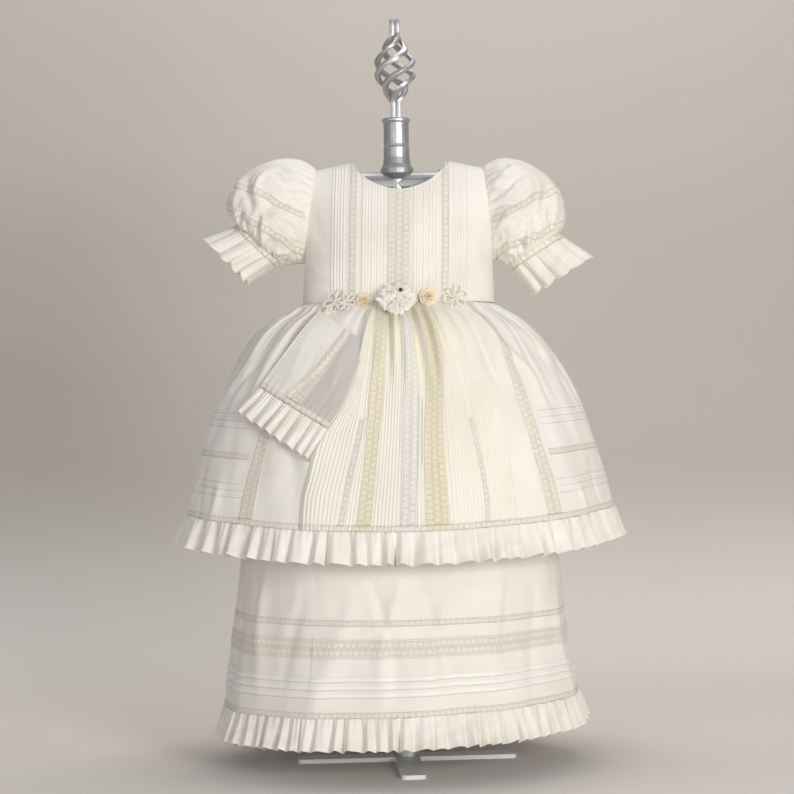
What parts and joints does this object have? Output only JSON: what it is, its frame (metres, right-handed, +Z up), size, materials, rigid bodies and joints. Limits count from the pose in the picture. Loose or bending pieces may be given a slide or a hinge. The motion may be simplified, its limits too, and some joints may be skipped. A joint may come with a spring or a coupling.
{
  "type": "baby lace christening gown on a metal display stand",
  "caption": "Baby lace christening gown with puff sleeves, a bell overskirt over a long skirt and a side drape, filled out on its metal tee stand.",
  "frame": {"origin": "on the floor, on the axis of the stand's post, at the middle of the cross base's flat underside", "axes": "+Z up along the post, the gown's front faces -Y, +X to the right of someone who looks at the front"},
  "size_m": [0.5604, 0.4392, 0.931],
  "materials": {
    "ivory_cotton": "matte fine cotton with a faint lustre",
    "ivory_ruffle": "matte fine cotton, gathered",
    "cream_lace": "matte raised cotton lace and cord",
    "feather_tulle": "soft down and tulle",
    "satin_ribbon": "satin sheen",
    "pearl_button": "pearl gloss",
    "jet_bead": "gloss",
    "pewter_metal": "satin silver paint on steel"
  },
  "bodies": {
    "root": {"back_button_1": "pearl_button", "back_button_2": "pearl_button", "back_button_3": "pearl_button", "back_button_4": "pearl_button", "back_placket": "ivory_cotton", "bodice_back_left": "ivory_cotton", "bodice_back_right": "ivory_cotton", "bodice_front": "ivory_cotton", "centre_bead": "jet_bead", "cord_flower_left": "cream_lace", "cord_flower_right": "cream_lace", "feather_flower": "feather_tulle", "finial_rod_1": "pewter_metal", "finial_rod_2": "pewter_metal", "finial_rod_3": "pewter_metal", "finial_rod_4": "pewter_metal", "overskirt_back": "ivory_cotton", "overskirt_front": "ivory_cotton", "overskirt_left": "ivory_cotton", "overskirt_right": "ivory_cotton", "overskirt_ruffle_back": "ivory_ruffle", "overskirt_ruffle_front": "ivory_ruffle", "overskirt_ruffle_left": "ivory_ruffle", "overskirt_ruffle_right": "ivory_ruffle", "rose_left": "satin_ribbon", "rose_right": "satin_ribbon", "side_drape": "ivory_cotton", "side_drape_ruffle": "ivory_ruffle", "sleeve_band_left": "cream_lace", "sleeve_band_right": "cream_lace", "sleeve_left": "ivory_cotton", "sleeve_right": "ivory_cotton", "sleeve_ruffle_left": "ivory_ruffle", "sleeve_ruffle_right": "ivory_ruffle", "stand_base": "pewter_metal", "stand_collar": "pewter_metal", "stand_post": "pewter_metal", "stand_tee": "pewter_metal", "underskirt_back": "ivory_cotton", "underskirt_front": "ivory_cotton", "underskirt_left": "ivory_cotton", "underskirt_right": "ivory_cotton", "underskirt_ruffle_back": "ivory_ruffle", "underskirt_ruffle_front": "ivory_ruffle", "underskirt_ruffle_left": "ivory_ruffle", "underskirt_ruffle_right": "ivory_ruffle"}
  },
  "joints": []
}
